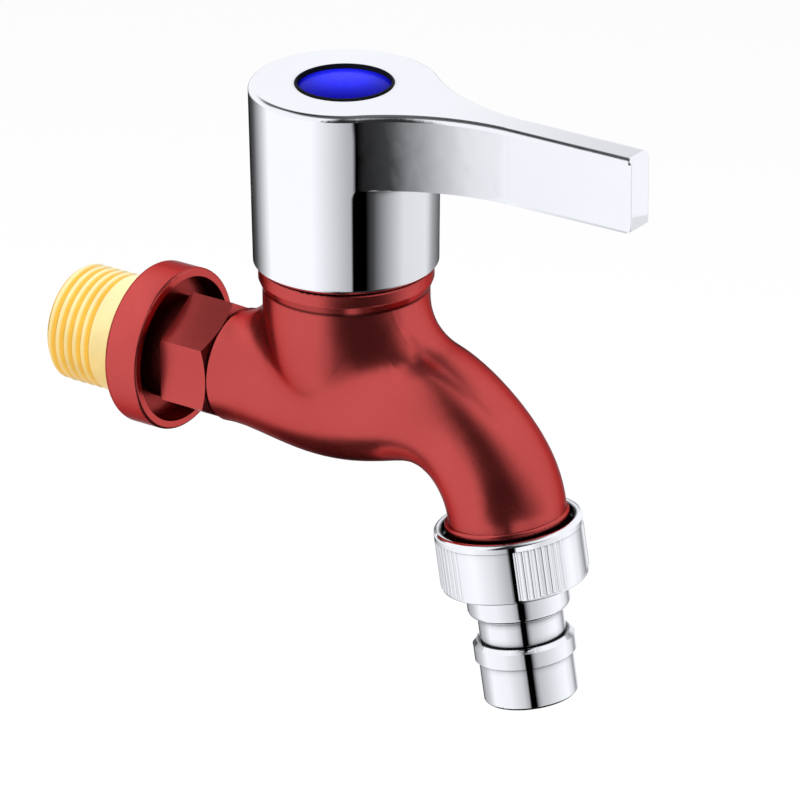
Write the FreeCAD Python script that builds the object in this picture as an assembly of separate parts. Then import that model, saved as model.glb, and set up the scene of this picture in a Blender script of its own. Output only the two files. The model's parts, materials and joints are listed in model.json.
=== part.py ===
import FreeCAD, Part

import math
import os

# A wall tap for a washing machine: red coated brass body, quarter-turn lever handle over a
# ceramic-disc cartridge, and a quick-connect hose nozzle held by a union nut.
# Millimetres. X leads away from the wall, Z is up, and Y is to the left of somebody who
# looks away from the wall. The origin is the centre of the flange's back face.

V = FreeCAD.Vector

# How far joined shapes run into each other, and cutters past the face they open
lap = 1.0

# Inlet: parallel half-inch pipe thread, plain here at its major size
thread_r = 20.955 / 2
thread_len = 15.8
thread_lead = 0.9
runout_len = 2.45
runout_r = 10.05
inlet_bore_r = 6.0

# Wall flange with a cupped front
flange_r = 14.5
flange_t = 7.0
flange_back_round = 1.1
flange_front_round = 0.5
cup_rim = 1.5
cup_wall_slope = 0.5
cup_depth = 3.2

# Spanner hexagon, two of its flats upright
hex_flats = 19.4
hex_start_x = 8.9
hex_start_bevel = 0.3
hex_root_r = 9.2
hex_end_x = 18.5
hex_end_r = 9.65
hex_end_bevel = 0.85
hex_relief_w = 0.5
hex_relief_r = 9.3

# Valve neck above the belly of the body
neck_x = 41.65
neck_r = 14.35
neck_straight_z = 17.0
neck_foot_z = 1.0
neck_foot_r = 10.8
collar_r = 15.05
collar_top_z = 24.6
collar_h = 2.3
collar_taper_h = 1.7
collar_edge_round = 0.4
spigot_r = 13.3
spigot_top_z = 27.5
neck_blend = 10.0

# Barrel, belly and bent spout: radii of the round section along the way
barrel_r = 10.05
barrel_root_x = 28.0
barrel_root_r = 10.5
belly_x = 40.5
belly_r = 11.4
crown_r = 11.35
bend_r = 10.1
spout_r = 10.3
spout_bend_r = 21.6
crown_angle = 9.0
bend_swell = 0.6

# Outlet: the axis leans forward, and distances along it count from the top of the nut
outlet_tilt = 9.0
outlet_x = 74.65
outlet_z = -15.2
bead_r = 10.75
bead_top = -1.2
bead_h = 1.6
bead_round = 0.6
outlet_thread_r = 10.4
outlet_thread_end = 6.2
outlet_bore_r = 6.0

# Waterways in the body
seat_z = 7.8
seat_hole_r = 4.8
chamber_r = 9.6
chamber_top_z = 17.5
link_r = 4.2
link_start_r = 9.6
link_start_z = 12.8
link_end_angle = 20.0
link_back = 3.5

# Cartridge housing
bonnet_thread_r = 10.4
bonnet_thread_gap = 0.05
bonnet_thread_end_z = 26.4
bonnet_relief_r = 9.9
bonnet_bottom_z = 8.4
cage_r = 8.2
cage_wall = 0.7
cage_slot_w = 4.0
cage_window_w = 7.0
cage_window_z = 12.2
cage_window_top_z = 16.4
bonnet_flange_r = 13.2
bonnet_flange_t = 1.6
bonnet_hex_flats = 20.0
bonnet_hex_h = 4.0
bonnet_hex_bevel = 0.8
bonnet_hex_top_r = 9.6
bonnet_top_r = 6.6
bonnet_top_z = 36.0
gasket_t = 0.4
gasket_inner_r = 10.7

# Discs, seal and stem
seal_r = 7.4
seal_hole_r = 4.9
seal_t = 1.6
disc_r = 7.3
disc_t = 2.4
disc_film = 0.02
disc_window_r = 5.6
disc_window_inner_r = 1.3
disc_window_angle = 80.0
ear_w = 3.8
ear_r = 8.0
drive_slot_w = 2.4
drive_slot_depth = 1.1
tang_gap = 0.1
foot_r = 6.8
foot_h = 2.6
thrust_t = 0.6
thrust_r = 7.2
stem_r = 4.9
stem_gap = 0.1
ring_section_r = 0.8
ring_gap = 0.025
ring_groove_w = 2.0
ring_groove_r = 3.35
ring_lower_z = 22.5
ring_upper_z = 31.0
clip_groove_r = 4.05
clip_t = 0.9
clip_lift = 0.15
clip_r = 6.3
clip_mouth_w = 5.0
stem_shoulder_z = 38.4
spline_top_z = 46.5
spline_teeth = 20
spline_r = 3.95
spline_root_r = 3.5
spline_gap = 0.05

# Handle: hub with a draft, lever and boss
hub_top_z = 57.2
hub_top_r = 16.3
hub_low_z = 25.45
hub_low_r = 15.87
hub_rim_z = 24.9
hub_rim_r = 15.3
hub_cavity_r = 13.9
hub_cavity_top_z = 47.0
hub_edge_round = 0.95
lever_reach = 59.0
lever_tip_w = 6.0
lever_waist_x = 34.9
lever_waist_w = 6.1
lever_root_h = 13.35
lever_tip_h = 13.0
lever_end_round = 0.6
boss_r = 7.6
boss_bottom_z = 38.7
bush_flats = 10.0
bush_gap = 0.05
bush_bottom_z = 38.9
web_hole_r = 2.5
screw_well_r = 5.0
screw_well_floor_z = 49.6
index_well_r = 8.49
index_floor_z = 54.0

# Handle screw and its washer
screw_r = 2.0
screw_end_z = 38.5
screw_head_r = 3.9
screw_head_h = 2.4
screw_head_round = 0.8
screw_hole_r = 2.1
screw_hole_end_z = 37.5
cross_w = 1.0
cross_len = 4.4
cross_depth = 1.3
washer_r = 4.6
washer_t = 0.8

# Cold-water marker: black ring and blue domed button
index_gap = 0.06
index_ring_wall = 0.4
index_ring_round = 0.15
index_ring_top_z = 57.45
index_ring_lip_t = 0.5
index_ring_lip_r = 5.6
button_edge_z = 56.65
button_crown_z = 57.35
button_skirt_r = 4.9
button_skirt_wall = 0.7
button_skirt_h = 1.1

# Union nut
nut_r = 12.65
nut_lip_r = 12.85
nut_lip_h = 1.5
nut_lip_round = 0.7
nut_foot_round = 0.5
nut_mouth_r = 11.35
nut_mouth_depth = 1.6
nut_bore_r = 10.52
nut_floor_t = 2.0
nut_hole_r = 9.05
knurl_patches = 4
knurl_first_angle = 58.0
knurl_ribs = 8
knurl_pitch_angle = 5.5
knurl_rib_r = 0.52
knurl_rib_out = 0.16
knurl_foot = 0.7

# Hose nozzle
nozzle_bore_r = 5.5
nozzle_flange_r = 10.1
nozzle_flange_t = 1.2
nozzle_shank_r = 8.9
nozzle_shank_end = 16.1
nozzle_shank_round = 1.0
nozzle_groove_r = 7.45
nozzle_groove_end = 20.8
nozzle_ring_r = 8.8
nozzle_ring_end = 24.2
nozzle_ring_bevel = 0.7
nozzle_tip_r = 8.18
nozzle_tip_end = 32.0
nozzle_tip_round = 0.6
washer_rubber_t = 1.5
washer_rubber_r = 10.0
washer_rubber_hole_r = 6.1

# Places that follow from the sizes above
disc_bottom_z = seat_z + seal_t
moving_bottom_z = disc_bottom_z + disc_t + disc_film
foot_bottom_z = moving_bottom_z + disc_t
foot_top_z = foot_bottom_z + foot_h
thrust_top_z = foot_top_z + thrust_t
bonnet_flange_z = spigot_top_z + gasket_t
bonnet_hex_z = bonnet_flange_z + bonnet_flange_t
washer_rubber_bottom = outlet_thread_end + washer_rubber_t
nut_floor_at = washer_rubber_bottom + nozzle_flange_t
nut_h = nut_floor_at + nut_floor_t
bend_x = outlet_x - spout_bend_r * math.cos(math.radians(outlet_tilt))
bend_z = outlet_z - spout_bend_r * math.sin(math.radians(outlet_tilt))


# Helpers

def turned_z(points, x=0.0):
    """Solid turned about an upright axis through x, from (radius, z) points."""
    corners = [V(x + r, 0, z) for r, z in points]
    face = Part.Face(Part.makePolygon(corners + corners[:1]))
    return face.revolve(V(x, 0, 0), V(0, 0, 1), 360)


def turned_x(points):
    """Solid turned about the inlet axis, from (x, radius) points."""
    corners = [V(x, 0, r) for x, r in points]
    face = Part.Face(Part.makePolygon(corners + corners[:1]))
    return face.revolve(V(0, 0, 0), V(1, 0, 0), 360)


def rod_z(r, low, high, x=neck_x):
    return Part.makeCylinder(r, high - low, V(x, 0, low))


def ring_z(r, hole, low, high, x=neck_x):
    return rod_z(r, low, high, x).cut(rod_z(hole, low - lap, high + lap, x))


def bar_z(length, width, low, high, x=neck_x):
    """Upright block centred on the axis, length along X and width along Y."""
    return Part.makeBox(length, width, high - low, V(x - length / 2, -width / 2, low))


def hex_z(flats, low, high, x=neck_x):
    """Hexagonal prism with a pair of flats facing front and back."""
    corner = flats / math.sqrt(3)
    points = []
    for k in range(7):
        a = math.radians(30 + 60 * k)
        points.append(V(x + corner * math.cos(a), corner * math.sin(a), low))
    return Part.Face(Part.makePolygon(points)).extrude(V(0, 0, high - low))


def star_z(crest, root, teeth, low, high):
    """Prism of a fine spline on the cartridge axis."""
    points = []
    for k in range(2 * teeth + 1):
        a = math.pi * k / teeth
        r = root if k % 2 else crest
        points.append(V(neck_x + r * math.cos(a), r * math.sin(a), low))
    return Part.Face(Part.makePolygon(points)).extrude(V(0, 0, high - low))


def rounded(shape, radius, wanted):
    return shape.makeFillet(radius, [e for e in shape.Edges if wanted(e)])


def circle_at(radius, axis, place):
    """Test for a circular edge of this radius whose centre lies at this place on the axis."""
    def wanted(edge):
        curve = edge.Curve
        if curve.TypeId != "Part::GeomCircle" or abs(curve.Radius - radius) > 1e-4:
            return False
        return abs(getattr(curve.Center, axis) - place) < 1e-4
    return wanted


def at_outlet(shape):
    """Puts a piece made on the Z axis, top of the nut at z = 0, onto the leaning outlet."""
    shape.rotate(V(0, 0, 0), V(0, 1, 0), -outlet_tilt)
    shape.translate(V(outlet_x, 0, outlet_z))
    return shape


def down(*points):
    """Turns (radius, distance below the nut's top) points into (radius, z) points."""
    return [(r, -s) for r, s in points]


# Body

def inlet_spigot():
    start = -thread_len
    points = [
        (start, 0),
        (start, thread_r - thread_lead),
        (start + thread_lead, thread_r),
        (-runout_len, thread_r),
        (thread_r - runout_r - runout_len, runout_r),
        (flange_t / 2, runout_r),
        (flange_t / 2, 0),
    ]
    return turned_x(points)


def wall_flange():
    floor_x = flange_t - cup_depth
    inner_r = flange_r - cup_rim
    points = [
        (0, 0),
        (0, flange_r),
        (flange_t, flange_r),
        (flange_t, inner_r),
        (floor_x, inner_r - cup_wall_slope),
        (floor_x, hex_root_r),
        (hex_start_x + lap, hex_root_r),
        (hex_start_x + lap, 0),
    ]
    disc = turned_x(points)
    disc = rounded(disc, flange_back_round, circle_at(flange_r, "x", 0))
    return rounded(disc, flange_front_round, circle_at(flange_r, "x", flange_t))


def spanner_hex():
    corner = hex_flats / math.sqrt(3)
    points = []
    for k in range(7):
        a = math.radians(60 * k)
        points.append(V(hex_start_x, corner * math.sin(a), corner * math.cos(a)))
    prism = Part.Face(Part.makePolygon(points)).extrude(V(hex_end_x - hex_start_x, 0, 0))
    envelope = turned_x([
        (hex_start_x, 0),
        (hex_start_x, corner - hex_start_bevel),
        (hex_start_x + hex_start_bevel, corner),
        (hex_end_x - hex_end_bevel, corner),
        (hex_end_x, hex_end_r),
        (hex_end_x, 0),
    ])
    relief = turned_x([
        (hex_end_x - lap, 0),
        (hex_end_x - lap, hex_relief_r),
        (hex_end_x + hex_relief_w, hex_relief_r),
        (hex_end_x + hex_relief_w, 0),
    ])
    return prism.common(envelope).fuse(relief)


def bend_point(angle):
    """Point of the spout's centre line, angle counted from the top of the bend."""
    a = math.radians(angle)
    return V(bend_x + spout_bend_r * math.sin(a), 0, bend_z + spout_bend_r * math.cos(a))


def swollen(angle):
    """Bend point moved outwards: the outer side of the bend is fuller than the waterway."""
    a = math.radians(angle)
    return bend_point(angle).add(V(bend_swell * math.sin(a), 0, bend_swell * math.cos(a)))


def section(place, heading, radius):
    """Round section across the centre line, heading counted downwards from X."""
    wire = Part.Wire(Part.makeCircle(radius))
    wire.rotate(V(0, 0, 0), V(0, 1, 0), 90 + heading)
    wire.translate(place)
    return wire


def barrel_and_spout():
    last = 90 - outlet_tilt
    step = (last - crown_angle) / 3
    sections = [
        section(V(hex_end_x + hex_relief_w, 0, 0), 0, barrel_r),
        section(V(barrel_root_x, 0, 0), 0, barrel_root_r),
        section(V(belly_x, 0, 0), 0, belly_r),
        section(bend_point(crown_angle), crown_angle, crown_r),
        section(swollen(crown_angle + step), crown_angle + step, bend_r),
        section(swollen(crown_angle + 2 * step), crown_angle + 2 * step, bend_r),
        section(bend_point(last), last, spout_r),
    ]
    return Part.makeLoft(sections, True, False)


def valve_neck():
    """Neck, collar and the spigot that stands up inside the handle's hub."""
    rise = neck_straight_z - neck_foot_z
    run = neck_r - neck_foot_r
    side_r = (rise * rise + run * run) / (2 * run)
    half = math.asin(rise / side_r) / 2
    middle = V(neck_x + neck_r - side_r * (1 - math.cos(half)), 0,
               neck_straight_z - side_r * math.sin(half))
    foot = V(neck_x + neck_foot_r, 0, neck_foot_z)
    shoulder = V(neck_x + neck_r, 0, neck_straight_z)
    side = Part.Arc(foot, middle, shoulder).toShape()
    band_z = collar_top_z - collar_h
    corners = [
        shoulder,
        V(neck_x + neck_r, 0, band_z - collar_taper_h),
        V(neck_x + collar_r, 0, band_z),
        V(neck_x + collar_r, 0, collar_top_z),
        V(neck_x + spigot_r, 0, collar_top_z),
        V(neck_x + spigot_r, 0, spigot_top_z),
        V(neck_x, 0, spigot_top_z),
        V(neck_x, 0, neck_foot_z),
        foot,
    ]
    outline = Part.Wire([side] + Part.makePolygon(corners).Edges)
    neck = Part.Face(outline).revolve(V(neck_x, 0, 0), V(0, 0, 1), 360)
    neck = rounded(neck, collar_edge_round, circle_at(collar_r, "z", collar_top_z))
    return rounded(neck, collar_edge_round, circle_at(collar_r, "z", band_z))


def outlet_end():
    """Bead and threaded end of the spout, below the bend."""
    bead = turned_z(down((0, bead_top), (bead_r, bead_top), (bead_r, bead_top + bead_h),
                         (0, bead_top + bead_h)))
    bead = rounded(bead, bead_round, circle_at(bead_r, "z", -bead_top))
    bead = rounded(bead, bead_round, circle_at(bead_r, "z", -bead_top - bead_h))
    end = turned_z(down((0, 0), (outlet_thread_r, 0), (outlet_thread_r, outlet_thread_end),
                        (0, outlet_thread_end)))
    return at_outlet(bead.fuse(end))


def waterways():
    """Inlet bore, seat hole, valve chamber, bonnet thread and the way down the spout."""
    inlet = Part.makeCylinder(inlet_bore_r, thread_len + lap + neck_x, V(-thread_len - lap, 0, 0),
                              V(1, 0, 0))
    cuts = [inlet, Part.makeSphere(inlet_bore_r, V(neck_x, 0, 0))]
    cuts.append(rod_z(seat_hole_r, 0, seat_z + lap))
    cuts.append(rod_z(chamber_r, seat_z, chamber_top_z))
    cuts.append(rod_z(bonnet_thread_r + bonnet_thread_gap, chamber_top_z, spigot_top_z + lap))
    start = V(neck_x + link_start_r, 0, link_start_z)
    way = bend_point(link_end_angle).sub(start)
    way.normalize()
    start = start.sub(V(way.x * link_back, 0, way.z * link_back))
    length = bend_point(link_end_angle).sub(start).Length
    cuts.append(Part.makeCylinder(link_r, length, start, way))
    last = 90 - outlet_tilt
    mouth = Part.Face(section(bend_point(link_end_angle), link_end_angle, outlet_bore_r))
    cuts.append(mouth.revolve(V(bend_x, 0, bend_z), V(0, 1, 0), last - link_end_angle))
    drop = turned_z(down((0, 0), (outlet_bore_r, 0), (outlet_bore_r, outlet_thread_end + lap),
                         (0, outlet_thread_end + lap)))
    cuts.append(at_outlet(drop))
    return cuts[0].fuse(cuts[1:])


def on_neck_foot(edge):
    """True for the seam where the neck runs into the barrel and the spout."""
    box = edge.BoundBox
    if edge.Curve.TypeId == "Part::GeomCircle":
        return False
    inside = box.XMin > neck_x - neck_r - lap and box.XMax < neck_x + neck_r + lap
    return inside and box.ZMin > 0 and box.ZMax < neck_straight_z + lap


def body():
    tube = barrel_and_spout()
    flow = tube.fuse(valve_neck())
    flow = rounded(flow, neck_blend, on_neck_foot)
    outside = flow.fuse([inlet_spigot(), wall_flange(), spanner_hex(), outlet_end()])
    return outside.cut(waterways()).removeSplitter()


# Cartridge

def bonnet():
    """Brass housing: caged discs below, thread, flange and hexagon, stem bore on top."""
    outside = turned_z([
        (0, bonnet_bottom_z),
        (cage_r, bonnet_bottom_z),
        (cage_r, chamber_top_z + bonnet_thread_gap),
        (bonnet_thread_r, chamber_top_z + bonnet_thread_gap),
        (bonnet_thread_r, bonnet_thread_end_z),
        (bonnet_relief_r, bonnet_thread_end_z),
        (bonnet_relief_r, bonnet_flange_z),
        (bonnet_flange_r, bonnet_flange_z),
        (bonnet_flange_r, bonnet_hex_z),
        (0, bonnet_hex_z),
    ], neck_x)
    corner = bonnet_hex_flats / math.sqrt(3)
    hex_top_z = bonnet_hex_z + bonnet_hex_h
    envelope = turned_z([
        (0, bonnet_hex_z - lap),
        (corner, bonnet_hex_z - lap),
        (corner, hex_top_z - bonnet_hex_bevel),
        (bonnet_hex_top_r, hex_top_z),
        (0, hex_top_z),
    ], neck_x)
    nut = hex_z(bonnet_hex_flats, bonnet_hex_z - lap, hex_top_z).common(envelope)
    outside = outside.fuse([nut, rod_z(bonnet_top_r, hex_top_z - lap, bonnet_top_z)])
    inner_r = cage_r - cage_wall
    cuts = [rod_z(inner_r, bonnet_bottom_z - lap, thrust_top_z)]
    cuts.append(rod_z(stem_r + stem_gap, thrust_top_z - lap, bonnet_top_z + lap))
    wide = 2 * cage_r + 2 * lap
    cuts.append(bar_z(cage_slot_w, wide, bonnet_bottom_z - lap, cage_window_top_z))
    cuts.append(bar_z(wide, cage_window_w, cage_window_z, cage_window_top_z))
    return outside.cut(cuts)


def bonnet_gasket():
    return ring_z(bonnet_flange_r, gasket_inner_r, spigot_top_z, bonnet_flange_z)


def seat_seal():
    return ring_z(seal_r, seal_hole_r, seat_z, disc_bottom_z)


def disc_window(low, high, turn):
    """One of the two fan-shaped windows of a disc, centred on this direction."""
    span = math.radians(disc_window_angle / 2)
    inner = disc_window_inner_r
    a = math.radians(turn)

    def spot(r, t):
        return V(neck_x + r * math.cos(a + t), r * math.sin(a + t), low)

    edges = [
        Part.Arc(spot(disc_window_r, -span), spot(disc_window_r, 0), spot(disc_window_r, span)),
        Part.LineSegment(spot(disc_window_r, span), spot(inner, span)),
        Part.Arc(spot(inner, span), spot(inner, 0), spot(inner, -span)),
        Part.LineSegment(spot(inner, -span), spot(disc_window_r, -span)),
    ]
    wire = Part.Wire([e.toShape() for e in edges])
    return Part.Face(wire).extrude(V(0, 0, high - low))


def fixed_disc():
    """Lower disc, kept from turning by two ears in the slots of the cage."""
    top = disc_bottom_z + disc_t
    disc = rod_z(disc_r, disc_bottom_z, top)
    ears = bar_z(ear_w, 2 * ear_r, disc_bottom_z, top)
    windows = [disc_window(disc_bottom_z - lap, top + lap, turn) for turn in (0, 180)]
    return disc.fuse(ears).cut(windows).removeSplitter()


def moving_disc():
    """Upper disc at the closed position: its windows lie across those of the lower disc."""
    top = moving_bottom_z + disc_t
    disc = rod_z(disc_r, moving_bottom_z, top)
    windows = [disc_window(moving_bottom_z - lap, top + lap, turn) for turn in (90, 270)]
    slot = bar_z(2 * disc_r + 2 * lap, drive_slot_w, top - drive_slot_depth, top + lap)
    core = rod_z(disc_window_inner_r, moving_bottom_z, top)
    return disc.cut(windows).cut(slot.cut(core))


def stem():
    foot = rod_z(foot_r, foot_bottom_z, foot_top_z)
    tang_w = drive_slot_w - 2 * tang_gap
    tangs = bar_z(2 * foot_r, tang_w, foot_bottom_z - drive_slot_depth + tang_gap, foot_top_z)
    tangs = tangs.common(rod_z(foot_r, 0, foot_top_z))
    tangs = tangs.cut(rod_z(disc_window_inner_r + tang_gap, 0, foot_bottom_z))
    shaft = rod_z(stem_r, foot_bottom_z, stem_shoulder_z)
    spline = star_z(spline_r, spline_root_r, spline_teeth, stem_shoulder_z - lap, spline_top_z)
    cuts = []
    for middle in (ring_lower_z, ring_upper_z):
        low = middle - ring_groove_w / 2
        cuts.append(ring_z(stem_r + lap, ring_groove_r, low, low + ring_groove_w))
    clip_z = bonnet_top_z + clip_lift
    cuts.append(ring_z(stem_r + lap, clip_groove_r, clip_z, clip_z + clip_t))
    cuts.append(rod_z(screw_hole_r, screw_hole_end_z, spline_top_z + lap))
    return foot.fuse([tangs, shaft, spline]).cut(cuts).removeSplitter()


def stem_o_ring(z):
    """Rubber ring in its groove, just clear of the bore."""
    middle_r = stem_r + stem_gap - ring_gap - ring_section_r
    return Part.makeTorus(middle_r, ring_section_r, V(neck_x, 0, z))


def thrust_washer():
    return ring_z(thrust_r, stem_r + stem_gap, foot_top_z, thrust_top_z)


def stem_clip():
    """Open spring clip in the stem's groove, over the top of the bonnet."""
    low = bonnet_top_z + clip_lift
    clip = ring_z(clip_r, clip_groove_r, low, low + clip_t)
    mouth = Part.makeBox(clip_r + lap, clip_mouth_w, clip_t + 2 * lap,
                         V(neck_x - clip_r - lap, -clip_mouth_w / 2, low - lap))
    return clip.cut(mouth)


# Handle

def hub_r_at(z):
    share = (z - hub_low_z) / (hub_top_z - hub_low_z)
    return hub_low_r + share * (hub_top_r - hub_low_r)


def lever_outline(z):
    """Plan of the lever at height z: flanks sweep out of the hub and widen to the tip."""
    hub_r = hub_r_at(z)
    waist = lever_waist_w / 2
    gap = lever_waist_x ** 2 + waist ** 2 - hub_r ** 2
    sweep_r = gap / (2 * (hub_r - waist))
    centre_y = waist + sweep_r
    to_centre = math.atan2(centre_y, lever_waist_x)
    leave = V(hub_r * math.cos(to_centre), hub_r * math.sin(to_centre), 0)
    tip = V(lever_reach, lever_tip_w / 2, 0)
    to_tip = math.hypot(tip.x - lever_waist_x, centre_y - tip.y)
    bearing = math.atan2(tip.y - centre_y, tip.x - lever_waist_x)
    opening = math.acos(sweep_r / to_tip)
    join = bearing - opening
    first = to_centre + math.pi
    middle = (first + join + 2 * math.pi) / 2

    def on_sweep(a):
        return V(lever_waist_x + sweep_r * math.cos(a), centre_y + sweep_r * math.sin(a), 0)

    def other_side(p):
        return V(p.x, -p.y, p.z)

    touch = on_sweep(join)
    half = on_sweep(middle)
    inside_hub = V(-hub_r / 2, 0, 0)
    edges = [
        Part.Arc(leave, half, touch),
        Part.LineSegment(touch, tip),
        Part.LineSegment(tip, other_side(tip)),
        Part.LineSegment(other_side(tip), other_side(touch)),
        Part.Arc(other_side(touch), other_side(half), other_side(leave)),
        Part.LineSegment(other_side(leave), inside_hub),
        Part.LineSegment(inside_hub, leave),
    ]
    wire = Part.Wire([e.toShape() for e in edges])
    wire.translate(V(neck_x, 0, z))
    return wire


def lever():
    low = hub_top_z - lever_root_h
    block = Part.makeLoft([lever_outline(low), lever_outline(hub_top_z)], True, True)
    tip_x = neck_x + lever_reach
    tip_z = hub_top_z - lever_tip_h
    wedge = Part.makePolygon([
        V(neck_x + hub_top_r, -hub_top_r, low),
        V(tip_x + lap, -hub_top_r, tip_z),
        V(tip_x + lap, -hub_top_r, low - lap),
        V(neck_x + hub_top_r, -hub_top_r, low - lap),
        V(neck_x + hub_top_r, -hub_top_r, low),
    ])
    block = block.cut(Part.Face(wedge).extrude(V(0, 2 * hub_top_r, 0)))

    def tip_corner(edge):
        box = edge.BoundBox
        return box.XMin > tip_x - 0.01 and box.ZMin < hub_top_z - 0.01

    return rounded(block, lever_end_round, tip_corner)


def hub():
    points = [
        (0, hub_rim_z),
        (hub_rim_r, hub_rim_z),
        (hub_low_r, hub_low_z),
        (hub_top_r, hub_top_z),
        (0, hub_top_z),
    ]
    return turned_z(points, neck_x)


def handle():
    outside = hub().fuse(lever()).removeSplitter()

    def on_top(edge):
        return edge.BoundBox.ZMin > hub_top_z - 0.01

    outside = rounded(outside, hub_edge_round, on_top)
    cavity = rod_z(hub_cavity_r, hub_rim_z - lap, hub_cavity_top_z)
    boss = rod_z(boss_r, boss_bottom_z, hub_cavity_top_z + lap)
    cuts = [cavity.cut(boss)]
    cuts.append(hex_z(bush_flats + 2 * bush_gap, boss_bottom_z - lap, hub_cavity_top_z))
    cuts.append(rod_z(web_hole_r, hub_cavity_top_z - lap, screw_well_floor_z + lap))
    cuts.append(rod_z(screw_well_r, screw_well_floor_z, index_floor_z + lap))
    cuts.append(rod_z(index_well_r, index_floor_z, hub_top_z + lap))
    return outside.cut(cuts)


def spline_bush():
    """Plastic bush: hexagon in the handle's boss, spline on the stem."""
    block = hex_z(bush_flats, bush_bottom_z, hub_cavity_top_z)
    hole = star_z(spline_r + spline_gap, spline_root_r + spline_gap, spline_teeth,
                  bush_bottom_z - lap, hub_cavity_top_z + lap)
    return block.cut(hole)


def handle_screw():
    head_z = screw_well_floor_z + washer_t
    screw = rod_z(screw_r, screw_end_z, head_z + lap)
    head = rod_z(screw_head_r, head_z, head_z + screw_head_h)
    head = rounded(head, screw_head_round, circle_at(screw_head_r, "z", head_z + screw_head_h))
    floor_z = head_z + screw_head_h - cross_depth
    cross = [
        bar_z(cross_len, cross_w, floor_z, floor_z + cross_depth + lap),
        bar_z(cross_w, cross_len, floor_z, floor_z + cross_depth + lap),
    ]
    return screw.fuse(head).cut(cross)


def screw_washer():
    return ring_z(washer_r, screw_hole_r, screw_well_floor_z, screw_well_floor_z + washer_t)


def index_ring():
    outer = index_well_r - index_gap
    wall = ring_z(outer, outer - index_ring_wall, index_floor_z, index_ring_top_z)
    wall = rounded(wall, index_ring_round, circle_at(outer, "z", index_ring_top_z))
    lip = ring_z(outer, index_ring_lip_r, index_floor_z, index_floor_z + index_ring_lip_t)
    return wall.fuse(lip).removeSplitter()


def index_button():
    """Domed blue cap with a snap skirt that reaches down into the screw well."""
    r = index_well_r - 2 * index_gap - index_ring_wall
    low = index_floor_z + index_ring_lip_t
    crown = button_crown_z - button_edge_z
    dome_r = (r * r + crown * crown) / (2 * crown)
    disc = rod_z(r, low, button_edge_z)
    dome = Part.makeSphere(dome_r, V(neck_x, 0, button_crown_z - dome_r))
    dome = dome.common(rod_z(r, low, button_crown_z + lap))
    skirt = ring_z(button_skirt_r, button_skirt_r - button_skirt_wall, low - button_skirt_h,
                   low + lap)
    return disc.fuse([dome, skirt]).removeSplitter()


# Outlet fittings

def knurl_rib(angle):
    rib = Part.makeCylinder(knurl_rib_r, nut_h - nut_lip_h - knurl_foot,
                            V(nut_r - knurl_rib_r + knurl_rib_out, 0, knurl_foot - nut_h))
    rib.rotate(V(0, 0, 0), V(0, 0, 1), angle)
    return rib


def outlet_nut():
    """Union nut: rounded lip on top, four patches of upright ribs, inner floor below."""
    outside = turned_z(down(
        (0, 0), (nut_lip_r, 0), (nut_lip_r, nut_lip_h), (nut_r, nut_lip_h), (nut_r, nut_h),
        (0, nut_h)))
    outside = rounded(outside, nut_lip_round, circle_at(nut_lip_r, "z", 0))
    outside = rounded(outside, nut_foot_round, circle_at(nut_r, "z", -nut_h))
    ribs = []
    for patch in range(knurl_patches):
        middle = knurl_first_angle + 360 / knurl_patches * patch
        for k in range(knurl_ribs):
            ribs.append(knurl_rib(middle + (k - (knurl_ribs - 1) / 2) * knurl_pitch_angle))
    outside = outside.fuse(ribs)
    inside = turned_z(down(
        (0, -lap), (nut_mouth_r, -lap), (nut_mouth_r, nut_mouth_depth),
        (nut_bore_r, nut_mouth_depth + nut_mouth_r - nut_bore_r), (nut_bore_r, nut_floor_at),
        (nut_hole_r, nut_floor_at), (nut_hole_r, nut_h + lap), (0, nut_h + lap)))
    nut = rounded(outside.cut(inside), nut_lip_round, circle_at(nut_mouth_r, "z", 0))
    return at_outlet(nut)


def nozzle():
    """Quick-connect nozzle: flange in the nut, shank, groove, ring and plain end."""
    top = washer_rubber_bottom
    outside = turned_z(down(
        (0, top), (nozzle_flange_r, top), (nozzle_flange_r, nut_floor_at),
        (nozzle_shank_r, nut_floor_at), (nozzle_shank_r, nozzle_shank_end),
        (nozzle_groove_r, nozzle_shank_end), (nozzle_groove_r, nozzle_groove_end),
        (nozzle_ring_r - nozzle_ring_bevel, nozzle_groove_end),
        (nozzle_ring_r, nozzle_groove_end + nozzle_ring_bevel),
        (nozzle_ring_r, nozzle_ring_end), (nozzle_tip_r, nozzle_ring_end),
        (nozzle_tip_r, nozzle_tip_end), (0, nozzle_tip_end)))
    outside = rounded(outside, nozzle_shank_round,
                      circle_at(nozzle_shank_r, "z", -nozzle_shank_end))
    outside = rounded(outside, nozzle_tip_round, circle_at(nozzle_tip_r, "z", -nozzle_tip_end))
    bore = turned_z(down((0, top - lap), (nozzle_bore_r, top - lap),
                         (nozzle_bore_r, nozzle_tip_end + lap), (0, nozzle_tip_end + lap)))
    return at_outlet(outside.cut(bore))


def nozzle_washer():
    ring = turned_z(down(
        (washer_rubber_hole_r, outlet_thread_end), (washer_rubber_r, outlet_thread_end),
        (washer_rubber_r, washer_rubber_bottom), (washer_rubber_hole_r, washer_rubber_bottom)))
    return at_outlet(ring)


pieces = {
    "body": body,
    "bonnet": bonnet,
    "bonnet_gasket": bonnet_gasket,
    "seat_seal": seat_seal,
    "fixed_disc": fixed_disc,
    "moving_disc": moving_disc,
    "stem": stem,
    "stem_o_ring_lower": lambda: stem_o_ring(ring_lower_z),
    "stem_o_ring_upper": lambda: stem_o_ring(ring_upper_z),
    "thrust_washer": thrust_washer,
    "stem_clip": stem_clip,
    "handle": handle,
    "spline_bush": spline_bush,
    "handle_screw": handle_screw,
    "screw_washer": screw_washer,
    "index_ring": index_ring,
    "index_button": index_button,
    "outlet_nut": outlet_nut,
    "nozzle": nozzle,
    "nozzle_washer": nozzle_washer,
}

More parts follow.
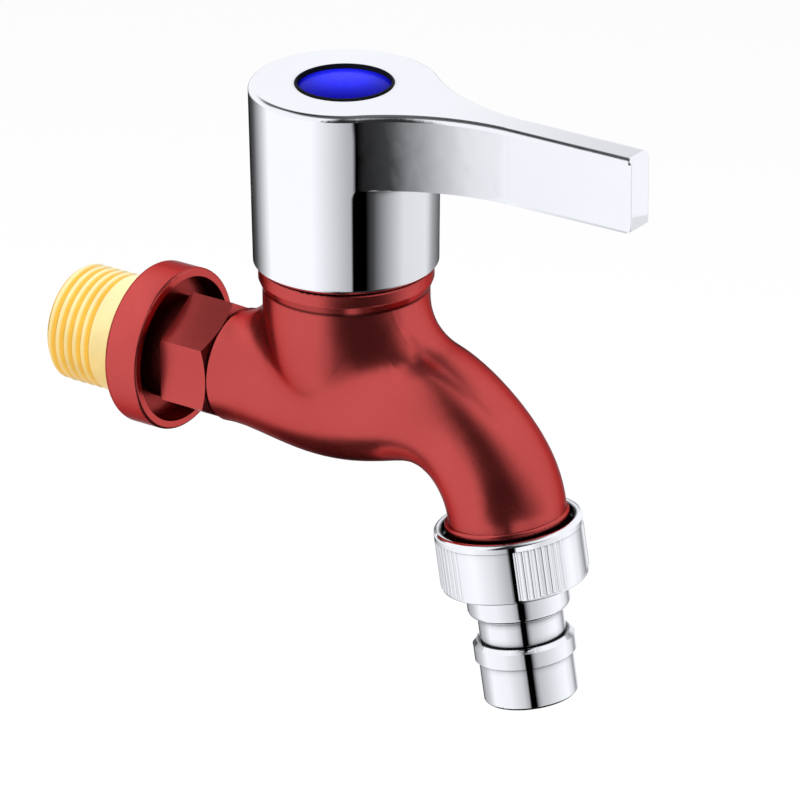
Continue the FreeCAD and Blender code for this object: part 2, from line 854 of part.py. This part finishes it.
os.makedirs("parts", exist_ok=True)
for name, make in pieces.items():
    shape = make()
    shape.exportStep("parts/" + name + ".step")
    print(name, len(shape.Solids), shape.isValid(), round(shape.Volume, 1))
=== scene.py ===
import json
import math

import bpy
import numpy as np
from mathutils import Matrix, Vector


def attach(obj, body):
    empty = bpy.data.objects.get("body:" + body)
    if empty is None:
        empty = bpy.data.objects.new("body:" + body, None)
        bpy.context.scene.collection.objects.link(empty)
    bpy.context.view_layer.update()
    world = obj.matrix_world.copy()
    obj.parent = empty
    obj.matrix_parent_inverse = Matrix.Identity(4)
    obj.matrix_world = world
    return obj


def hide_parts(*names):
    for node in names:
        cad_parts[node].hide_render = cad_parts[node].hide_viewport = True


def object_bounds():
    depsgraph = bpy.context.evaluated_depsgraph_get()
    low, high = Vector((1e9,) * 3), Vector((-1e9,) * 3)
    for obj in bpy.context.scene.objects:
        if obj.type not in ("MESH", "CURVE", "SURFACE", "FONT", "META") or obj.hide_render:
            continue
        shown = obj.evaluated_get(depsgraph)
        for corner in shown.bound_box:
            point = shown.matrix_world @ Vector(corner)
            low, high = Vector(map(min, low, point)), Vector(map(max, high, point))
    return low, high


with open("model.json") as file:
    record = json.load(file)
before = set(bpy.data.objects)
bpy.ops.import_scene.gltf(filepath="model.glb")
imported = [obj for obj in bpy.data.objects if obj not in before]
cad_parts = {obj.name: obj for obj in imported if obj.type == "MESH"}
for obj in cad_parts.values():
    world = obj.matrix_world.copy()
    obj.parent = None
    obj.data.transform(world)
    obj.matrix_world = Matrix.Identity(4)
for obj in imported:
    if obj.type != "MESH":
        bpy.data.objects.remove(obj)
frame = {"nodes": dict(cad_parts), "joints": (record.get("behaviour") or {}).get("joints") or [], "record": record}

# A wall tap on white: red coated body, chromed lever, nut and hose nozzle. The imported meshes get
# materials here, and a drawn thread takes the place of the plain cylinder at the body's inlet.
# Chrome and coat mirror a painted dome and a few painted cards, which only glossy rays meet.

CAD_LOW, CAD_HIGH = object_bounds()
NODES = frame["nodes"]
MM = 0.001

# Camera, fitted to the photograph: angles in degrees, distance in metres, lens in millimetres,
# and the point in the picture's middle
AZIMUTH = 34.69
ELEVATION = 24.01
ROLL = 0.35
DISTANCE = 1.11719
LENS = 287.2
AIM = Vector((0.03807, 0.02100, -0.00987))

# Places on the part, from its joints: the valve neck's axis, and the outlet's, which starts at the
# nut's top and leans forward on its way down
JOINTS = {joint["name"]: joint for joint in frame["joints"]}
NECK_X = JOINTS["handle_turn"]["pos_m"][0]
OUTLET = Vector(JOINTS["nut_turn"]["pos_m"])
OUTLET_DOWN = Vector(JOINTS["nut_turn"]["axis"])

# Where the casting has no coat: behind the flange, in the inlet's bore and the valve chamber, and
# on the spout from this far below the nut's top
FLANGE_BACK_X = 0.0
INLET_BORE_R = 6.2 * MM
CHAMBER_R = 10.6 * MM
CHAMBER_LOW_Z = 0.1 * MM
SPOUT_BARE_FROM = 6.0 * MM

# Slack where places are compared
HAIR = 0.01 * MM

# Inlet thread: half-inch pipe pitch, with a lead at its end and a plain stretch by the flange.
# Polish is the share of the flanks' slope that the shading shows. The middle of the wall parts
# the bore from the plain cylinder that the thread takes the place of.
PITCH = 1.814 * MM
THREAD_DEPTH = 0.55 * MM
THREAD_POLISH = 0.4
THREAD_COLUMNS = 144
THREAD_ROWS = 168
INLET_THREAD = dict(start=-15.8 * MM, end=-2.02 * MM, r=10.4775 * MM, lead=0.9 * MM,
                    last_turn=-6.4 * MM, fade=1.3 * MM, neck_from=-2.45 * MM, neck_r=10.05 * MM)
MID_WALL_R = 8.5 * MM

# How far the floor lies below the hanging part
FLOOR_DROP = 0.09

# Tint of the cards' greys
COOL = (0.985, 1.0, 1.045)


# Helpers

def step(value, middle, half):
    """Soft step from 0 to 1 round the middle."""
    t = min(1.0, max(0.0, (value - middle + half) / (2 * half)))
    return t * t * (3 - 2 * t)


def between(value, first, first_half, last, last_half):
    """1 from the first place to the last, with soft ends."""
    return step(value, first, first_half) * (1 - step(value, last, last_half))


def direction(azimuth, elevation=0.0):
    """Way out from the part, in degrees to the right of the camera and above the horizon."""
    turn, rise = math.radians(AZIMUTH + azimuth), math.radians(elevation)
    level = math.cos(rise)
    return Vector((math.sin(turn) * level, -math.cos(turn) * level, math.sin(rise)))


def in_scene(name, data):
    obj = bpy.data.objects.new(name, data)
    bpy.context.scene.collection.objects.link(obj)
    return obj


def grid_faces(rows, columns, closed):
    """Four-sided faces over a grid of points; closed joins its last column to the first."""
    faces = []
    for i in range(rows - 1):
        for k in range(columns if closed else columns - 1):
            a, b = i * columns + k, i * columns + (k + 1) % columns
            faces.append((a, b, b + columns, a + columns))
    return faces


# Shader nodes

def empty_material(name):
    mat = bpy.data.materials.new(name)
    mat.use_nodes = True
    mat.node_tree.nodes.clear()
    return mat, mat.node_tree.nodes, mat.node_tree.links


def new_material(name):
    mat = bpy.data.materials.new(name)
    mat.use_nodes = True
    nodes = mat.node_tree.nodes
    return mat, nodes, mat.node_tree.links, nodes["Principled BSDF"]


def noise(nodes, links, scale, detail=3.0, stretch=(1, 1, 1)):
    """Noise over the part's own coordinates; stretch above 1 makes it finer along that axis."""
    place = nodes.new("ShaderNodeTexCoord")
    mapping = nodes.new("ShaderNodeMapping")
    mapping.inputs["Scale"].default_value = stretch
    texture = nodes.new("ShaderNodeTexNoise")
    texture.inputs["Scale"].default_value = scale
    texture.inputs["Detail"].default_value = detail
    links.new(place.outputs["Object"], mapping.inputs["Vector"])
    links.new(mapping.outputs["Vector"], texture.inputs["Vector"])
    return texture.outputs["Fac"]


def mapped(nodes, links, value, start, end, low, high, smooth=False):
    """The value with start..end mapped onto low..high."""
    node = nodes.new("ShaderNodeMapRange")
    node.interpolation_type = "SMOOTHSTEP" if smooth else "LINEAR"
    node.inputs["From Min"].default_value = start
    node.inputs["From Max"].default_value = end
    node.inputs["To Min"].default_value = low
    node.inputs["To Max"].default_value = high
    links.new(value, node.inputs["Value"])
    return node.outputs["Result"]


def spread(nodes, links, value, low, high):
    """Maps the middle of a noise onto low..high."""
    return mapped(nodes, links, value, 0.3, 0.7, low, high)


def blended(nodes, links, share, first, second):
    """Colour from the first at a share of 0 to the second at 1."""
    node = nodes.new("ShaderNodeMix")
    node.data_type = "RGBA"
    node.inputs["A"].default_value = (*first, 1)
    node.inputs["B"].default_value = (*second, 1)
    links.new(share, node.inputs["Factor"])
    return node.outputs["Result"]


def multiplied(nodes, links, tone, value):
    mix = nodes.new("ShaderNodeMix")
    mix.data_type = "RGBA"
    mix.blend_type = "MULTIPLY"
    mix.inputs["Factor"].default_value = 1.0
    links.new(tone, mix.inputs["A"])
    links.new(value, mix.inputs["B"])
    return mix.outputs["Result"]


def with_painted_corner_shade(nodes, links, tone, reach, darkest, shut, clear):
    """The tone with painted shade, darker where other faces stand within reach: darkest where the
    share of open directions is down to shut, and as it is from clear upwards."""
    near = nodes.new("ShaderNodeAmbientOcclusion")
    near.samples = 8
    near.inputs["Distance"].default_value = reach
    openness = mapped(nodes, links, near.outputs["AO"], shut, clear, darkest, 1.0)
    return multiplied(nodes, links, tone, openness)


def with_painted_shade_line(nodes, links, tone, height, half, darkest):
    """The tone with a soft line of painted shade at this height."""
    place = nodes.new("ShaderNodeTexCoord")
    split = nodes.new("ShaderNodeSeparateXYZ")
    gap = nodes.new("ShaderNodeMath")
    gap.operation = "SUBTRACT"
    gap.inputs[1].default_value = height
    size = nodes.new("ShaderNodeMath")
    size.operation = "ABSOLUTE"
    links.new(place.outputs["Object"], split.inputs["Vector"])
    links.new(split.outputs["Z"], gap.inputs[0])
    links.new(gap.outputs["Value"], size.inputs[0])
    line = mapped(nodes, links, size.outputs["Value"], 0.0, half, darkest, 1.0, smooth=True)
    return multiplied(nodes, links, tone, line)


def bumped(nodes, links, value, distance):
    node = nodes.new("ShaderNodeBump")
    node.inputs["Distance"].default_value = distance
    links.new(value, node.inputs["Height"])
    return node.outputs["Normal"]


def mixed_shaders(nodes, links, share, first, second):
    """The first shader at a share of 0, the second at 1."""
    mix = nodes.new("ShaderNodeMixShader")
    links.new(share, mix.inputs["Fac"])
    links.new(first, mix.inputs[1])
    links.new(second, mix.inputs[2])
    return mix.outputs["Shader"]


# Materials

def surface(name, first, second, rough, metallic=0.0, tone_scale=60.0, grain_scale=900.0,
            grain=0.00001, coat=0.0, coat_rough=0.05, specular=0.5, edge=(1, 1, 1),
            painted_crevice_shade=None, painted_crease_shade=None):
    """Two close colours, uneven gloss and a fine grain. Rough is the (low, high) of the gloss
    and edge the tint at grazing angles; painted shade in the corners comes as (reach, darkest,
    shut, clear), and a painted line of shade as (height, half, darkest)."""
    mat, nodes, links, shader = new_material(name)
    shader.inputs["Metallic"].default_value = metallic
    shader.inputs["Coat Weight"].default_value = coat
    shader.inputs["Coat Roughness"].default_value = coat_rough
    shader.inputs["Specular IOR Level"].default_value = specular
    shader.inputs["Specular Tint"].default_value = (*edge, 1)
    patches = spread(nodes, links, noise(nodes, links, tone_scale, 4.0), 0.0, 1.0)
    tone = blended(nodes, links, patches, first, second)
    # Painted shade: darker in corners, and along a line at a given height.
    if painted_crevice_shade:
        tone = with_painted_corner_shade(nodes, links, tone, *painted_crevice_shade)
    if painted_crease_shade:
        tone = with_painted_shade_line(nodes, links, tone, *painted_crease_shade)
    links.new(tone, shader.inputs["Base Color"])
    gloss = noise(nodes, links, tone_scale * 2.3, 5.0)
    links.new(spread(nodes, links, gloss, *rough), shader.inputs["Roughness"])
    fine = noise(nodes, links, grain_scale, 2.0)
    links.new(bumped(nodes, links, fine, grain), shader.inputs["Normal"])
    return mat


def marker_material():
    """Blue resin lens with painted light and shade: darker blue at the rim and on the near
    side, lighter towards the far side.
    """
    # The lit and the shaded blue of the painted light and shade.
    clear, deep = (0.014, 0.018, 0.80), (0.001, 0.001, 0.20)
    painted_light_place = (NECK_X - 1.6 * MM, 2.4 * MM, 57 * MM)
    painted_shade_from = 9.5 * MM
    mat, nodes, links, shader = new_material("blue_marker")
    place = nodes.new("ShaderNodeTexCoord")
    gap = nodes.new("ShaderNodeVectorMath")
    gap.operation = "DISTANCE"
    gap.inputs[1].default_value = painted_light_place
    links.new(place.outputs["Object"], gap.inputs[0])
    share = mapped(nodes, links, gap.outputs["Value"], 0.0, painted_shade_from, 0.0, 1.0, smooth=True)
    links.new(blended(nodes, links, share, clear, deep), shader.inputs["Base Color"])
    gloss = noise(nodes, links, 140, 4.0)
    links.new(spread(nodes, links, gloss, 0.20, 0.28), shader.inputs["Roughness"])
    fine = noise(nodes, links, 700, 2.0)
    links.new(bumped(nodes, links, fine, 0.000002), shader.inputs["Normal"])
    shader.inputs["Specular IOR Level"].default_value = 0.02
    return mat


def thread_brass():
    """Brass of the cut thread: pale on the ridges, as burnished wear and as a painted highlight,
    deep gold between them.
    """
    deep, pale = (1.0, 0.55, 0.070), (1.0, 0.88, 0.46)
    mat, nodes, links, shader = new_material("thread_brass")
    shader.inputs["Metallic"].default_value = 1.0
    # Share of pale brass: painted highlight and wear on the ridges, painted shade on the underside.
    worn_and_lit = nodes.new("ShaderNodeAttribute")
    worn_and_lit.attribute_name = "worn_and_lit"
    tone = blended(nodes, links, worn_and_lit.outputs["Fac"], deep, pale)
    patches = noise(nodes, links, 160, 3.0)
    worn = multiplied(nodes, links, tone, spread(nodes, links, patches, 0.88, 1.0))
    links.new(worn, shader.inputs["Base Color"])
    gloss = noise(nodes, links, 260, 5.0)
    links.new(spread(nodes, links, gloss, 0.24, 0.36), shader.inputs["Roughness"])
    fine = noise(nodes, links, 1800, 2.0, (1, 0.1, 0.1))
    links.new(bumped(nodes, links, fine, 0.000004), shader.inputs["Normal"])
    return mat


def make_materials():
    """One material a slot of the record, and the thread's own."""
    return {
        "thread_brass": thread_brass(),
        # The red coat gets painted shade in its corners and recesses, and a painted line of shade round the hollow
        # under the valve's collar.
        "red_coat": surface("satin_red_coat", (0.560, 0.078, 0.071), (0.525, 0.070, 0.064),
                            (0.22, 0.28), metallic=0.97, tone_scale=70, grain_scale=1500,
                            grain=0.000004, coat=0.10, coat_rough=0.22, edge=(0.34, 0.18, 0.18),
                            painted_crevice_shade=(4.5 * MM, 0.28, 0.4, 0.85), painted_crease_shade=(20.75 * MM, 0.55 * MM, 0.25)),
        # The chrome gets painted shade in tight corners, such as between the nut's ribs and at the nozzle's steps.
        "chrome": surface("polished_chrome", (0.93, 0.935, 0.945), (0.90, 0.905, 0.92), (0.030, 0.050),
                          metallic=1.0, tone_scale=40, grain_scale=500, grain=0.0000006,
                          painted_crevice_shade=(1.6 * MM, 0.0, 0.62, 0.93)),
        "brass": surface("turned_brass", (1.0, 0.76, 0.27), (0.96, 0.66, 0.18), (0.20, 0.32),
                         metallic=1.0, tone_scale=90, grain_scale=1800, grain=0.000004),
        "black_plastic": surface("black_cup_ring", (0.004, 0.004, 0.006), (0.007, 0.007, 0.009),
                                 (0.45, 0.58), specular=0.02),
        "blue_plastic": marker_material(),
        "black_rubber": surface("black_rubber", (0.020, 0.020, 0.020), (0.032, 0.032, 0.032),
                                (0.55, 0.75)),
        "grey_fibre": surface("grey_fibre", (0.20, 0.20, 0.19), (0.28, 0.27, 0.25), (0.7, 0.85),
                              grain=0.00002),
        "white_ceramic": surface("white_ceramic", (0.82, 0.81, 0.77), (0.78, 0.76, 0.72), (0.15, 0.25)),
        "white_plastic": surface("white_nylon", (0.80, 0.80, 0.77), (0.74, 0.74, 0.71), (0.40, 0.52)),
        "spring_steel": surface("bright_steel", (0.62, 0.62, 0.64), (0.55, 0.55, 0.57), (0.22, 0.34),
                                metallic=1.0),
    }


def dress_nodes(materials):
    slots = {row["node"]: row["material_slot"] for row in frame["record"]["subparts"]}
    for name, obj in NODES.items():
        obj.material_slots[0].material = materials[slots[name]]


# Body and inlet thread

def add_piece(name, mesh, body, slot, *stands_for):
    obj = in_scene(name, mesh)
    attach(obj, body)
    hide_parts(*stands_for)


def is_bare(place):
    """True where the casting has no coat: behind the flange, in the waterways, at the threads."""
    behind = place.x < FLANGE_BACK_X + 2 * HAIR
    inlet_bore = math.hypot(place.y, place.z) < INLET_BORE_R and place.x < NECK_X
    chamber = math.hypot(place.x - NECK_X, place.y) < CHAMBER_R and place.z > CHAMBER_LOW_Z
    spout_end = (place - OUTLET).dot(OUTLET_DOWN) > SPOUT_BARE_FROM
    return behind or inlet_bore or chamber or spout_end


def body_without_thread(materials):
    """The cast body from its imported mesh, less the plain cylinder where the thread goes."""
    source = NODES["body"].data
    points = np.empty(len(source.vertices) * 3)
    source.vertices.foreach_get("co", points)
    points = points.reshape(-1, 3)
    normals = np.empty(len(source.loops) * 3)
    source.corner_normals.foreach_get("vector", normals)
    normals = normals.reshape(-1, 3)
    from_axis = np.hypot(points[:, 1], points[:, 2])
    cylinder = (from_axis > MID_WALL_R) & (points[:, 0] < INLET_THREAD["end"] + HAIR)
    polygons, kept_normals, bare = [], [], []
    for polygon in source.polygons:
        corners = list(polygon.vertices)
        if all(cylinder[corners]):
            continue
        polygons.append(corners)
        kept_normals.extend(normals[list(polygon.loop_indices)])
        bare.append(is_bare(polygon.center))
    mesh = bpy.data.meshes.new("coated_body")
    mesh.from_pydata(points.tolist(), [], polygons)
    mesh.polygons.foreach_set("use_smooth", [True] * len(polygons))
    mesh.polygons.foreach_set("material_index", [int(flag) for flag in bare])
    mesh.normals_split_custom_set(kept_normals)
    mesh.materials.append(materials["red_coat"])
    mesh.materials.append(materials["brass"])
    add_piece("coated_body", mesh, "valve", "red_coat", "body")


def thread_radius(x, share):
    """Radius of the inlet thread at x, this share of a turn round from the top."""
    t = INLET_THREAD
    lead = t["r"] - max(0.0, t["lead"] - (x - t["start"]))
    into_neck = min(1.0, max(0.0, (x - t["neck_from"]) / (t["end"] - t["neck_from"])))
    neck = t["r"] + (t["neck_r"] - t["r"]) * into_neck
    depth = THREAD_DEPTH * (1 - step(x, t["last_turn"] + t["fade"] / 2, t["fade"] / 2))
    height = 0.5 + 0.5 * math.cos(2 * math.pi * (x / PITCH - share))
    groove = t["r"] - depth * (1 - height)
    return min(lead, neck, groove)


def worn_and_lit_share(radius, turn):
    """How pale the thread's brass is: most on the ridges, as burnished wear and as a painted
    highlight, and less on the underside, which is painted shade.
    """
    from_crest = (INLET_THREAD["r"] - radius) / THREAD_DEPTH
    return (0.62 + 0.38 * math.cos(turn)) * (1 - step(from_crest, 0.42, 0.34))


def inlet_thread(materials):
    """Helical thread from the lead at the end to the plain stretch by the flange."""
    start, end = INLET_THREAD["start"], INLET_THREAD["end"]
    xs = [start + (end - start) * i / THREAD_ROWS for i in range(THREAD_ROWS + 1)]
    shares = [k / THREAD_COLUMNS for k in range(THREAD_COLUMNS)]
    turns = [2 * math.pi * share for share in shares]
    radii = np.array([[thread_radius(x, share) for share in shares] for x in xs])
    verts, worn_and_lit_shares = [], []
    for x, row in zip(xs, radii):
        verts.extend((x, r * math.sin(turn), r * math.cos(turn)) for r, turn in zip(row, turns))
        worn_and_lit_shares.extend(worn_and_lit_share(r, turn) for r, turn in zip(row, turns))
    slopes = np.gradient(radii, (end - start) / THREAD_ROWS, axis=0) * THREAD_POLISH
    sines = np.broadcast_to(np.sin(turns), radii.shape)
    cosines = np.broadcast_to(np.cos(turns), radii.shape)
    normals = np.stack([-slopes, sines, cosines], axis=-1)
    normals /= np.linalg.norm(normals, axis=-1, keepdims=True)
    faces = [(a, d, c, b) for a, b, c, d in grid_faces(THREAD_ROWS + 1, THREAD_COLUMNS, closed=True)]
    mesh = bpy.data.meshes.new("inlet_thread")
    mesh.from_pydata(verts, [], faces)
    mesh.polygons.foreach_set("use_smooth", [True] * len(faces))
    mesh.normals_split_custom_set_from_vertices(normals.reshape(-1, 3).tolist())
    mesh.attributes.new("worn_and_lit", "FLOAT", "POINT").data.foreach_set("value", worn_and_lit_shares)
    mesh.materials.append(materials["thread_brass"])
    add_piece("inlet_thread", mesh, "valve", "brass", "body")


# Camera, light and floor

def view_axes():
    """Right, up and back of the camera, with its roll."""
    roll = math.radians(ROLL)
    back = direction(0, ELEVATION)
    right = direction(90)
    up = back.cross(right)
    turned_right = math.cos(roll) * right - math.sin(roll) * up
    turned_up = math.sin(roll) * right + math.cos(roll) * up
    return turned_right, turned_up, back


def make_camera():
    right, up, back = view_axes()
    data = bpy.data.cameras.new("camera")
    data.lens = LENS
    data.clip_start = 0.01
    data.clip_end = 20
    camera = in_scene("camera", data)
    matrix = Matrix((right, up, back)).transposed().to_4x4()
    matrix.translation = AIM + back * DISTANCE
    camera.matrix_world = matrix
    bpy.context.scene.camera = camera


def area_lamp(name, azimuth, elevation, distance, size, power):
    """Soft lamp that looks at the part; the azimuth counts from the camera's, to the right."""
    way = direction(azimuth, elevation)
    data = bpy.data.lights.new(name, "AREA")
    data.shape = "DISK"
    data.size = size
    data.energy = power
    lamp = in_scene(name, data)
    lamp.location = Vector((NECK_X, 0, 0)) + way * distance
    lamp.rotation_euler = way.to_track_quat("Z", "Y").to_euler()
    lamp.visible_glossy = False


def seen_directly(nodes, links):
    """1 for camera, glossy and transmission rays, 0 for the rays that only light the part."""
    path = nodes.new("ShaderNodeLightPath")
    result = path.outputs["Is Camera Ray"]
    for kind in ("Is Glossy Ray", "Is Transmission Ray"):
        both = nodes.new("ShaderNodeMath")
        both.operation = "MAXIMUM"
        links.new(result, both.inputs[0])
        links.new(path.outputs[kind], both.inputs[1])
        result = both.outputs["Value"]
    return result


def background(nodes, strength):
    node = nodes.new("ShaderNodeBackground")
    node.inputs["Color"].default_value = (1, 1, 1, 1)
    node.inputs["Strength"].default_value = strength
    return node.outputs["Background"]


def make_world():
    """White where it is seen, and a plain soft light for the part."""
    world = bpy.data.worlds.new("studio")
    bpy.context.scene.world = world
    world.use_nodes = True
    nodes, links = world.node_tree.nodes, world.node_tree.links
    nodes.clear()
    light, white = background(nodes, 0.55), background(nodes, 1.0)
    out = nodes.new("ShaderNodeOutputWorld")
    mixed = mixed_shaders(nodes, links, seen_directly(nodes, links), light, white)
    links.new(mixed, out.inputs["Surface"])


def floor_material():
    """Mostly white where it is seen, and matt for the rest, so that it keeps a soft shadow."""
    white_share = 0.85
    mat, nodes, links = empty_material("pale_floor")
    matt = nodes.new("ShaderNodeBsdfDiffuse")
    matt.inputs["Color"].default_value = (0.9, 0.9, 0.9, 1)
    glow = nodes.new("ShaderNodeEmission")
    share = nodes.new("ShaderNodeMath")
    share.operation = "MULTIPLY"
    share.inputs[1].default_value = white_share
    links.new(seen_directly(nodes, links), share.inputs[0])
    mixed = mixed_shaders(nodes, links, share.outputs["Value"], matt.outputs["BSDF"],
                          glow.outputs["Emission"])
    out = nodes.new("ShaderNodeOutputMaterial")
    links.new(mixed, out.inputs["Surface"])
    return mat


def make_floor():
    """Pale floor under the hanging part."""
    half, height = 3.0, CAD_LOW.z - FLOOR_DROP
    corners = [(x, y, height) for x, y in ((-half, -half), (half, -half), (half, half), (-half, half))]
    mesh = bpy.data.meshes.new("floor")
    mesh.from_pydata(corners, [], [(0, 1, 2, 3)])
    mesh.materials.append(floor_material())
    floor = in_scene("floor", mesh)


# Cards that the part mirrors

def card_material():
    """Gives the grey that is painted on the mesh, on its front side alone."""
    mat, nodes, links = empty_material("card")
    paint = nodes.new("ShaderNodeAttribute")
    paint.attribute_name = "grey"
    glow = nodes.new("ShaderNodeEmission")
    links.new(paint.outputs["Color"], glow.inputs["Color"])
    clear = nodes.new("ShaderNodeBsdfTransparent")
    side = nodes.new("ShaderNodeNewGeometry")
    mixed = mixed_shaders(nodes, links, side.outputs["Backfacing"], glow.outputs["Emission"],
                          clear.outputs["BSDF"])
    out = nodes.new("ShaderNodeOutputMaterial")
    links.new(mixed, out.inputs["Surface"])
    return mat


def card(name, rows, greys, material, closed=False):
    """Card over a grid of points, one grey a point. Only gloss sees it."""
    mesh = bpy.data.meshes.new(name)
    mesh.from_pydata([p for row in rows for p in row], [], grid_faces(len(rows), len(rows[0]), closed))
    paint = mesh.color_attributes.new("grey", "FLOAT_COLOR", "POINT")
    for k, grey in enumerate(g for row in greys for g in row):
        paint.data[k].color = (*(grey * tint for tint in COOL), 1)
    mesh.materials.append(material)
    obj = in_scene(name, mesh)
    obj.visible_camera = False
    obj.visible_diffuse = False
    obj.visible_shadow = False
    obj.visible_transmission = False
    obj.visible_volume_scatter = False


def room_grey(azimuth, elevation):
    """White room with a dark sector in front, a dark back left, a dim ceiling and a dark ground.
    The direction is in degrees to the right of the camera and above the horizon."""
    around = (azimuth + 360) % 360
    low = step(-elevation, 20, 12)
    away = max(0.0, -math.cos(math.radians(azimuth)))
    left = max(0.0, math.cos(math.radians(azimuth + 55))) ** 4
    in_front = between(azimuth, 0.2 * elevation - 24 + 8 * low, 9 + 20 * low,
                       56 - 0.75 * elevation, 27 + 6 * low)
    back_left = between(around, 192, 12, 248, 13) * step(elevation, -12, 8)
    back_left *= 1 - between(elevation, 4, 8, 46, 6)
    behind = between(around, 158, 10, 198, 8) * (1 - step(elevation, 8, 8))
    above_behind = between(around, 145, 8, 168, 9) * step(elevation, 32, 6)
    ceiling = step(elevation, 63 - 15 * away ** 6, 9)
    ground = 1 - step(elevation, -46 - 13 * left, 7)
    shades = ((in_front, 0.97), (back_left, 0.85), (behind, 0.80), (above_behind, 0.22),
              (ceiling, 0.86), (ground, 0.93))
    return math.prod(1 - depth * share for share, depth in shades)


def room(material):
    """Dome round the part, flattened above the floor, seen from inside."""
    centre = Vector((0.045, 0, 0))
    radius, depth = 0.20, 0.125
    spacing = 2        # degrees
    rows, greys = [], []
    for elevation in range(90, -91, -spacing):
        row, grey = [], []
        for azimuth in range(-180, 180, spacing):
            way = direction(azimuth, elevation)
            reach = radius if way.z >= 0 else min(radius, depth / max(1e-6, -way.z))
            row.append(centre + way * reach)
            grey.append(room_grey(azimuth, elevation))
        rows.append(row)
        greys.append(grey)
    card("room", rows, greys, material, closed=True)


def fan_card(name, centre, radius, reach, stops, material):
    """Level card that faces up, from the near reach to the far one. Its greys are laid out as an
    upright cylinder of this radius mirrors them; stops are (place across the cylinder from -1 on
    the left to 1, grey)."""
    places = [place for place, grey in stops]
    values = [grey for place, grey in stops]
    turns = [-90 + k / 4 for k in range(721)]
    grey = [float(np.interp(math.sin(math.radians(turn)), places, values)) for turn in turns]
    rows = []
    for away in reversed(reach):
        rows.append([centre + direction(turn) * radius + direction(2 * turn) * away for turn in turns])
    card(name, rows, [grey] * len(rows), material)


def lever_card(name, path, heights, material):
    """Upright card that follows the lever's flank at a small distance and shades it towards the
    hub. Its path is (right of the neck, in front of the neck, grey), with lengths in mm."""
    right, front = direction(90) * MM, direction(0) * MM
    rows = []
    for height in heights:
        neck = Vector((NECK_X, 0, height * MM))
        rows.append([neck + right * across + front * ahead for across, ahead, grey in path])
    card(name, rows, [[grey for across, ahead, grey in path]] * len(rows), material)


def outlet_card(name, first, last, radius, mirror, stops, material):
    """Ring round the outlet's axis between two distances below the nut's top (mm). Stops are
    (degrees right of the camera, grey) as an upright cylinder of the mirror radius shows them."""
    front = direction(0)
    front = (front - OUTLET_DOWN * front.dot(OUTLET_DOWN)).normalized()
    across = front.cross(OUTLET_DOWN)
    angles = [angle for angle, grey in stops]
    values = [grey for angle, grey in stops]
    ring, grey = [], []
    for half_degrees in range(-360, 360):
        turn = math.radians(half_degrees / 2)
        seen = half_degrees / 2 + math.degrees(math.asin(mirror / radius * math.sin(turn / 2)))
        ring.append((front * math.cos(turn) + across * math.sin(turn)) * radius * MM)
        grey.append(float(np.interp(seen, angles, values)))
    rows = [[OUTLET + OUTLET_DOWN * below * MM + point for point in ring] for below in (first, last)]
    card(name, rows, [grey] * len(rows), material, closed=True)


def thread_card(name, ends, radius, material):
    """Bright ring round the inlet thread between two places along X, lighter above than below."""
    turns = [math.radians(degrees) for degrees in range(0, 360, 2)]
    rows = [[(x, radius * math.sin(turn), radius * math.cos(turn)) for turn in turns] for x in ends]
    grey = [1.06 + 0.14 * math.cos(turn) for turn in turns]
    card(name, rows, [grey] * len(rows), material, closed=True)


def make_cards():
    """The room, and cards that lay their own gradients over hub, lever, outlet and thread. From
    the left, hub, nut and nozzle mirror a white panel that fades, a black strip and a paler one."""
    hub = [(-1.0, 0.0), (-0.95, 0.1), (-0.8, 1.05), (-0.35, 1.05), (0.06, 0.45), (0.08, 0.0),
           (0.22, 0.0), (0.3, 0.07), (0.62, 0.78), (0.86, 0.83), (0.92, 0.4), (1.0, 0.08)]
    far_left = [(-180, 1.0), (-166, 1.0), (-162, 0.1), (-152, 0.1)]
    far_right = [(100, 1.05), (120, 0.9), (145, 0.3), (160, 0.9), (180, 1.0)]
    spout_end = [(-180, 1.0), (-32, 0.95), (-18, 0.05), (6, 0.0), (14, 0.6), (24, 1.0), (180, 1.0)]
    nut = far_left + [(-148, 0.4), (-110, 0.9), (-60, 1.05), (-28, 0.78), (-6, 0.45), (-2, 0.0),
                      (7, 0.0), (10, 1.02), (30, 1.02), (45, 0.75)] + far_right
    nozzle = far_left + [(-148, 0.35), (-118, 0.62), (-95, 1.02), (-50, 0.96), (-15, 0.66),
                         (-4, 0.4), (-1, 0.0), (12, 0.0), (20, 0.41), (27, 0.57), (80, 0.97)] + far_right
    flank = [(4.2, 28.0, 0.0), (6.5, 28.0, 0.05), (9.4, 28.0, 0.53), (11.1, 28.0, 0.82),
             (13.8, 28.0, 0.97), (36.0, 43.2, 1.02), (48.0, 50.0, 1.02), (62.0, 45.0, 1.02)]
    hub_foot = Vector((NECK_X, 0, 20 * MM))
    ring = 30
    material = card_material()
    room(material)
    fan_card("card_round_hub", hub_foot, 16.3 * MM, (12 * MM, 96 * MM), hub, material)
    outlet_card("card_round_spout_end", 3.0, 6.5, ring, 11, spout_end, material)
    outlet_card("card_round_nut", 6.5, 18.7, ring, 13, nut, material)
    outlet_card("card_round_nozzle", 18.7, 54, ring, 8.5, nozzle, material)
    lever_card("card_by_lever", flank, (52.5, 38.6), material)
    thread_card("card_round_thread", (-34 * MM, -1 * MM), 26 * MM, material)


materials = make_materials()
dress_nodes(materials)
body_without_thread(materials)
inlet_thread(materials)
make_camera()
make_world()
make_floor()
area_lamp("key", azimuth=-50, elevation=50, distance=0.7, size=0.5, power=7)
area_lamp("fill", azimuth=60, elevation=30, distance=0.8, size=0.5, power=3)
make_cards()
bpy.context.scene.view_settings.view_transform = "Standard"
